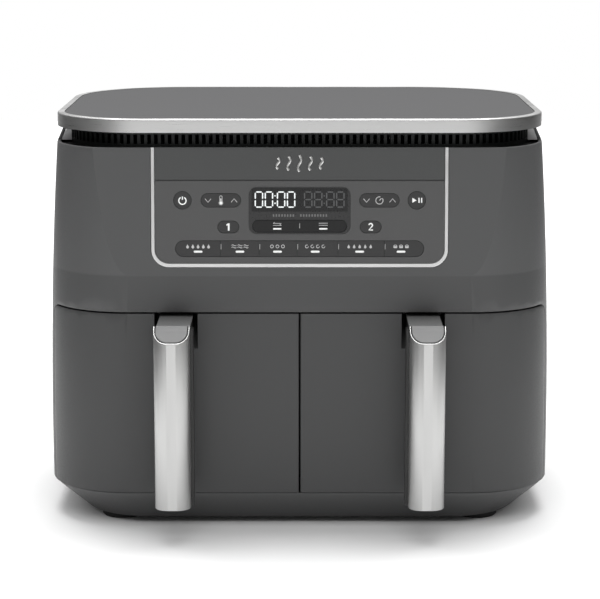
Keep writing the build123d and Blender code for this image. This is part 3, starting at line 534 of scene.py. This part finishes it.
LABEL_Y = 1.75
label_flat = {
    "max_heat": [flame(x, LABEL_Y, 3.2) for x in spots(4.0, 5)],
    "dehydrate": [flame(x, LABEL_Y, 3.0) for x in spots(4.2, 5)],
    "bake": [bar(x, LABEL_Y - 0.55, 3.0, 1.5) for x in spots(4.4)],
}
label_line = {
    "air_fry": [wave(x, LABEL_Y + dy, 3.6, 0.8) for x in spots(4.6) for dy in (-0.8, 0.8)],
    "roast": [ring(x, LABEL_Y, 1.15, 16) for x in spots(4.2)],
    "reheat": [arc(x, LABEL_Y, 1.15, 60, 360, 14) for x in spots(4.2, 4)],
    "bake": [arc(x, LABEL_Y - 0.2, 1.3, 10, 170, 8) for x in spots(4.4)],
}
for index, name in enumerate(FUNCTIONS):
    function_key, centre = f"{name}_key", (LABELS[index], STRIP_Z)
    flat_print(f"{name}_lamp", [bar(0, -2.25, 6.7, 1.6)], centre, ink, function_key, PRINT * 2)
    if name in label_flat:
        flat_print(f"{name}_picture", label_flat[name], centre, ink_soft, function_key)
    if name in label_line:
        line_print(f"{name}_lines", label_line[name], 0.5, centre, ink_soft, function_key)
    if index:
        spot = (SPLITS[index - 1] + 0.45, STRIP_Z + 1.5)
        flat_print(f"{name}_divider", [block(0, 0, 0.5, 4.0)], spot, ink_line, function_key)

lamps = [bar(x, -2.0, 6.4, 1.2) for x in (-17.0, 18.0)]
flat_print("pair_lamps", lamps, PAIR, ink, "sync_match_rocker", PRINT * 2)
signs = [
    [(-20.2, 0.6), (-13.8, 0.6)],
    [(-15.2, 1.5), (-13.8, 0.6)],
    [(-20.2, 2.1), (-18.8, 3.0)],
    [(-20.2, 2.1), (-13.8, 2.1)],
    [(14.6, 0.7), (21.4, 0.7)],
    [(14.6, 2.3), (21.4, 2.3)],
]
line_print("pair_signs", signs, 0.42, PAIR, ink_soft, "sync_match_rocker")
flat_print("pair_divider", [block(0, 0.3, 0.5, 3.8)], PAIR, ink_line, "sync_match_rocker")

# The badge strip carries a plain mark of rising heat: five upright waves.
MARK_Z = 283.3
HEIGHTS = (8.5, 10.5, 12.5, 10.5, 8.5)
heat = [shift(upright(wave(0, 0, tall, 2.3)), x, 0) for x, tall in zip(spots(8.2, 5), HEIGHTS)]
finish_piece(strokes("heat_mark", heat, 1.9, 0.35, panel_matrix(0, MARK_Z)), badge, "case")

# Seven-segment readouts: the left one is lit, the right one shows its dim segments.
DIGIT_W, DIGIT_H = 6.5, 12.4
PITCH = 7.6
STROKE = 0.95
BREAK = 0.9  # gap between the ends of two segments
COLON_ROOM = 1.6
READOUT = 18.7  # each readout's middle, from the panel's middle
READOUT_Z = 256.0
CAPTION_Z = 243.9


def segment(cx, cy, length, turned):
    """One six-sided segment."""
    h, t = length / 2, STROKE / 2
    shape = [(-h, 0), (-h + t, t), (h - t, t), (h, 0), (h - t, -t), (-h + t, -t)]
    return shift(upright(shape) if turned else shape, cx, cy)


def readout(centre, middle_bar):
    """Four digits and a colon; a zero has no middle bar."""
    found = []
    half_w, half_h, quarter = (DIGIT_W - STROKE) / 2, (DIGIT_H - STROKE) / 2, (DIGIT_H - STROKE) / 4
    for place in (-1.5, -0.5, 0.5, 1.5):
        x = centre + place * PITCH + math.copysign(COLON_ROOM / 2, place)
        rows = (-1, 0, 1) if middle_bar else (-1, 1)
        found += [segment(x, row * half_h, 2 * half_w - BREAK, False) for row in rows]
        for a, b in ((-1, -1), (-1, 1), (1, -1), (1, 1)):
            found.append(segment(x + a * half_w, b * quarter, 2 * quarter - BREAK, True))
    found += [bar(centre, dy, 1.1, 1.1) for dy in (-2.8, 2.8)]
    return found


face = panel_matrix(0, READOUT_Z, LENS_FACE)
bright = flat_shapes("readout_lit", readout(-READOUT, False), 0.12, face)
finish_piece(bright, digit_on, "case")
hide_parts("display_digits")
dim = flat_shapes("readout_dim", readout(READOUT, True), 0.08, face)
finish_piece(dim, digit_off, "case")

# Two dim rows of ticks where a caption would stand.
places = [-12.3 + x for x in spots(2.15, 8)] + [10.6 + x for x in spots(2.15, 10)]
ticks = [block(x, 0, 1.1, 1.9) for x in places]
rows = flat_shapes("display_ticks", ticks, 0.05, panel_matrix(0, CAPTION_Z, LENS_FACE))
finish_piece(rows, caption, "case")


# ---------------------------------------------------------------- stage, light and camera
FLOOR = (0.9, -2.4, 3.0)  # half width, front and back, in metres
FLOOR_PAINTED_LIGHT = 0.5
PAINTED_LIGHT_AT = (0.17, 0.58)  # distance from the origin at which the floor's painted light starts and is full


def stage_plane():
    """A pale floor with painted light that grows with distance from the object, leaving it darker round
    the object, so that its far edge is lost in the background.
    """
    mesh = bpy.data.meshes.new("floor")
    side, front, back = FLOOR
    corners = [(-side, front, 0), (side, front, 0), (side, back, 0), (-side, back, 0)]
    mesh.from_pydata(corners, [], [(0, 1, 2, 3)])
    floor = bpy.data.objects.new("floor", mesh)
    bpy.context.scene.collection.objects.link(floor)
    n = Nodes("floor_paper")
    n.bsdf.inputs["Base Color"].default_value = (0.93, 0.93, 0.93, 1)
    n.bsdf.inputs["Roughness"].default_value = 0.9
    n.bsdf.inputs["Specular IOR Level"].default_value = 0.1
    n.bsdf.inputs["Emission Color"].default_value = (1, 1, 1, 1)
    distance = n.tree.nodes.new("ShaderNodeVectorMath")
    distance.operation = "LENGTH"
    n.link(n.coords, distance.inputs[0])
    # Painted light: the floor glows more the farther it lies from the object.
    n.link(n.span(distance.outputs["Value"], 0.0, FLOOR_PAINTED_LIGHT, PAINTED_LIGHT_AT), n.bsdf.inputs["Emission Strength"])
    mesh.materials.append(n.mat)


stage_plane()

world = bpy.data.worlds.new("studio")
bpy.context.scene.world = world
world.use_nodes = True
tree = world.node_tree
tree.nodes.clear()


def world_node(kind, **inputs):
    """A node of the world's tree with some inputs set."""
    node = tree.nodes.new(kind)
    for name, value in inputs.items():
        node.inputs[name].default_value = value
    return node


def world_range(source, at, to):
    """Maps a value smoothly from one range to another."""
    node = tree.nodes.new("ShaderNodeMapRange")
    node.interpolation_type = "SMOOTHSTEP"
    for name, value in zip(("From Min", "From Max", "To Min", "To Max"), (*at, *to)):
        node.inputs[name].default_value = value
    tree.links.new(source, node.inputs["Value"])
    return node.outputs[0]


def world_math(operation, a, b):
    """One sum in the world's tree; each side may be a number or a socket."""
    node = tree.nodes.new("ShaderNodeMath")
    node.operation = operation
    for value, socket in ((a, node.inputs[0]), (b, node.inputs[1])):
        if isinstance(value, bpy.types.NodeSocket):
            tree.links.new(value, socket)
        else:
            socket.default_value = value
    return node.outputs[0]


# The studio lights from above, less from front and back, and hardly from the sides. The camera sees white.
SKY_SIDE, SKY_FRONT, SKY_TOP = 0.06, 0.38, 0.95
where = tree.nodes.new("ShaderNodeTexCoord").outputs["Generated"]
split = tree.nodes.new("ShaderNodeSeparateXYZ")
tree.links.new(where, split.inputs[0])
across = world_math("ABSOLUTE", split.outputs["X"], 0.0)
level = world_range(across, (0.30, 0.85), (SKY_FRONT, SKY_SIDE))
rise = world_range(split.outputs["Z"], (0.25, 0.85), (0.0, 1.0))
lift = world_math("MULTIPLY", rise, world_math("SUBTRACT", SKY_TOP, level))
glow = world_math("ADD", level, lift)
lighting = world_node("ShaderNodeBackground", Color=(1, 1, 1, 1))
tree.links.new(glow, lighting.inputs["Strength"])
seen = world_node("ShaderNodeBackground", Color=(1, 1, 1, 1), Strength=1.0)
choose = tree.nodes.new("ShaderNodeMixShader")
rays = tree.nodes.new("ShaderNodeLightPath")
tree.links.new(rays.outputs["Is Camera Ray"], choose.inputs[0])
tree.links.new(lighting.outputs[0], choose.inputs[1])
tree.links.new(seen.outputs[0], choose.inputs[2])
tree.links.new(choose.outputs[0], tree.nodes.new("ShaderNodeOutputWorld").inputs[0])


def softbox(name, place, aim, size, power):
    """A rectangular area light turned towards a point."""
    data = bpy.data.lights.new(name, "AREA")
    data.shape = "RECTANGLE"
    data.size, data.size_y = size
    data.energy = power
    lamp = bpy.data.objects.new(name, data)
    lamp.location = place
    lamp.rotation_euler = (Vector(aim) - Vector(place)).to_track_quat("-Z", "Y").to_euler()
    bpy.context.scene.collection.objects.link(lamp)


softbox("top_box", (0.0, 0.5, 2.2), (0, 0, 0.1), (1.8, 1.0), 53)
softbox("front_box", (0.0, -1.9, 2.3), (0, 0, 0.15), (1.6, 0.8), 7)

bpy.context.scene.view_settings.view_transform = "Standard"
bpy.context.scene.view_settings.look = "None"

CAMERA_PLACE = (0.0, -1.725, 0.478)
CAMERA_TILT = math.radians(79.44)  # from straight down
camera_data = bpy.data.cameras.new("camera")
camera_data.sensor_width = 36.0
camera_data.lens = 127.9
camera_data.clip_end = 100.0
camera_data.shift_x = 0.0006
camera = bpy.data.objects.new("camera", camera_data)
camera.location = CAMERA_PLACE
camera.rotation_euler = (CAMERA_TILT, 0.0, 0.0)
bpy.context.scene.collection.objects.link(camera)
bpy.context.scene.camera = camera
